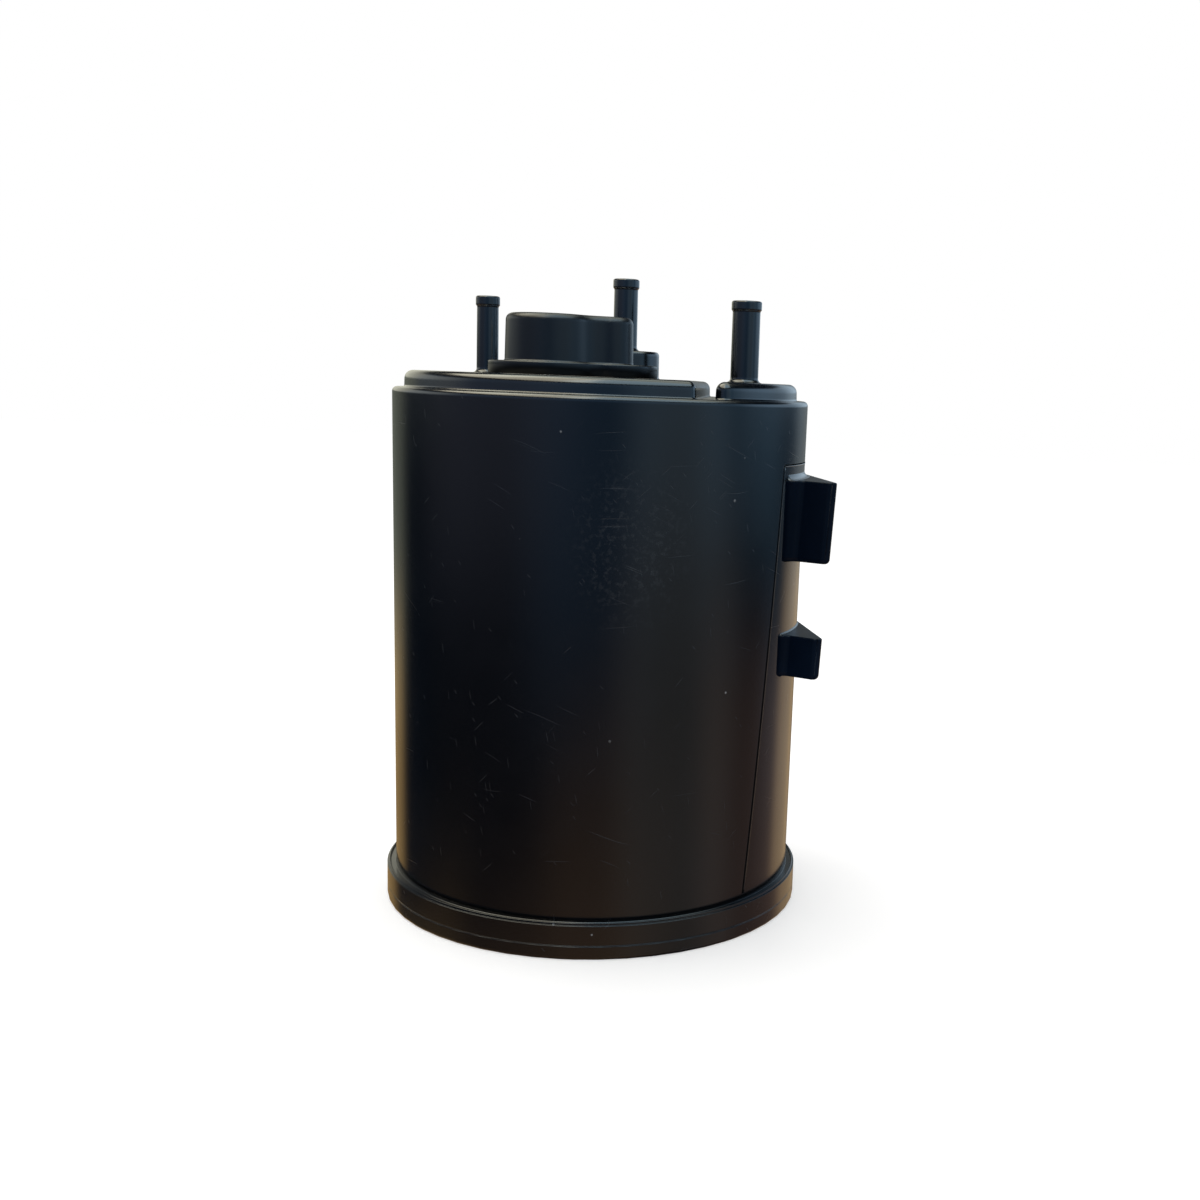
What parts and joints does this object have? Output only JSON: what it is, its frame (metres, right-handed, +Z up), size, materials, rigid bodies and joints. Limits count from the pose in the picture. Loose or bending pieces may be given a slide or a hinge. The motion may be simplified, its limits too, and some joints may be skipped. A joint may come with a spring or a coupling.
{
  "type": "charcoal canister",
  "caption": "Round charcoal canister for fuel vapour: a drum with hose nipples and a lobed valve cover on its lid, a welded bottom cap and wedge slide rails on its side.",
  "frame": {"origin": "middle of the bottom cap's flat underside, on the drum's axis", "axes": "+Z up along the drum's axis, +X across the partition from the main chamber to the side chamber and towards the slide rails"},
  "size_m": [0.1246, 0.1184, 0.1758],
  "materials": {
    "black_nylon": "semi-gloss moulded nylon",
    "inner_nylon": "plain moulded nylon",
    "black_rubber": "matt fluorosilicone rubber",
    "grey_felt": "needled polyester felt",
    "charcoal": "packed pellets",
    "spring_steel": "bright drawn wire"
  },
  "bodies": {
    "root": {"housing": "black_nylon", "bottom_cap": "black_nylon", "valve_cover": "black_nylon", "valve_diaphragm": "black_rubber", "valve_spring": "spring_steel", "vacuum_valve": "black_rubber", "upper_grid_main": "inner_nylon", "upper_grid_side": "inner_nylon", "upper_felt_main": "grey_felt", "upper_felt_side": "grey_felt", "charcoal_bed_main": "charcoal", "charcoal_bed_side": "charcoal", "lower_felt_main": "grey_felt", "lower_felt_side": "grey_felt", "pressure_plate_main": "inner_nylon", "pressure_plate_side": "inner_nylon", "main_spring_front": "spring_steel", "main_spring_back": "spring_steel", "side_spring": "spring_steel"}
  },
  "joints": []
}
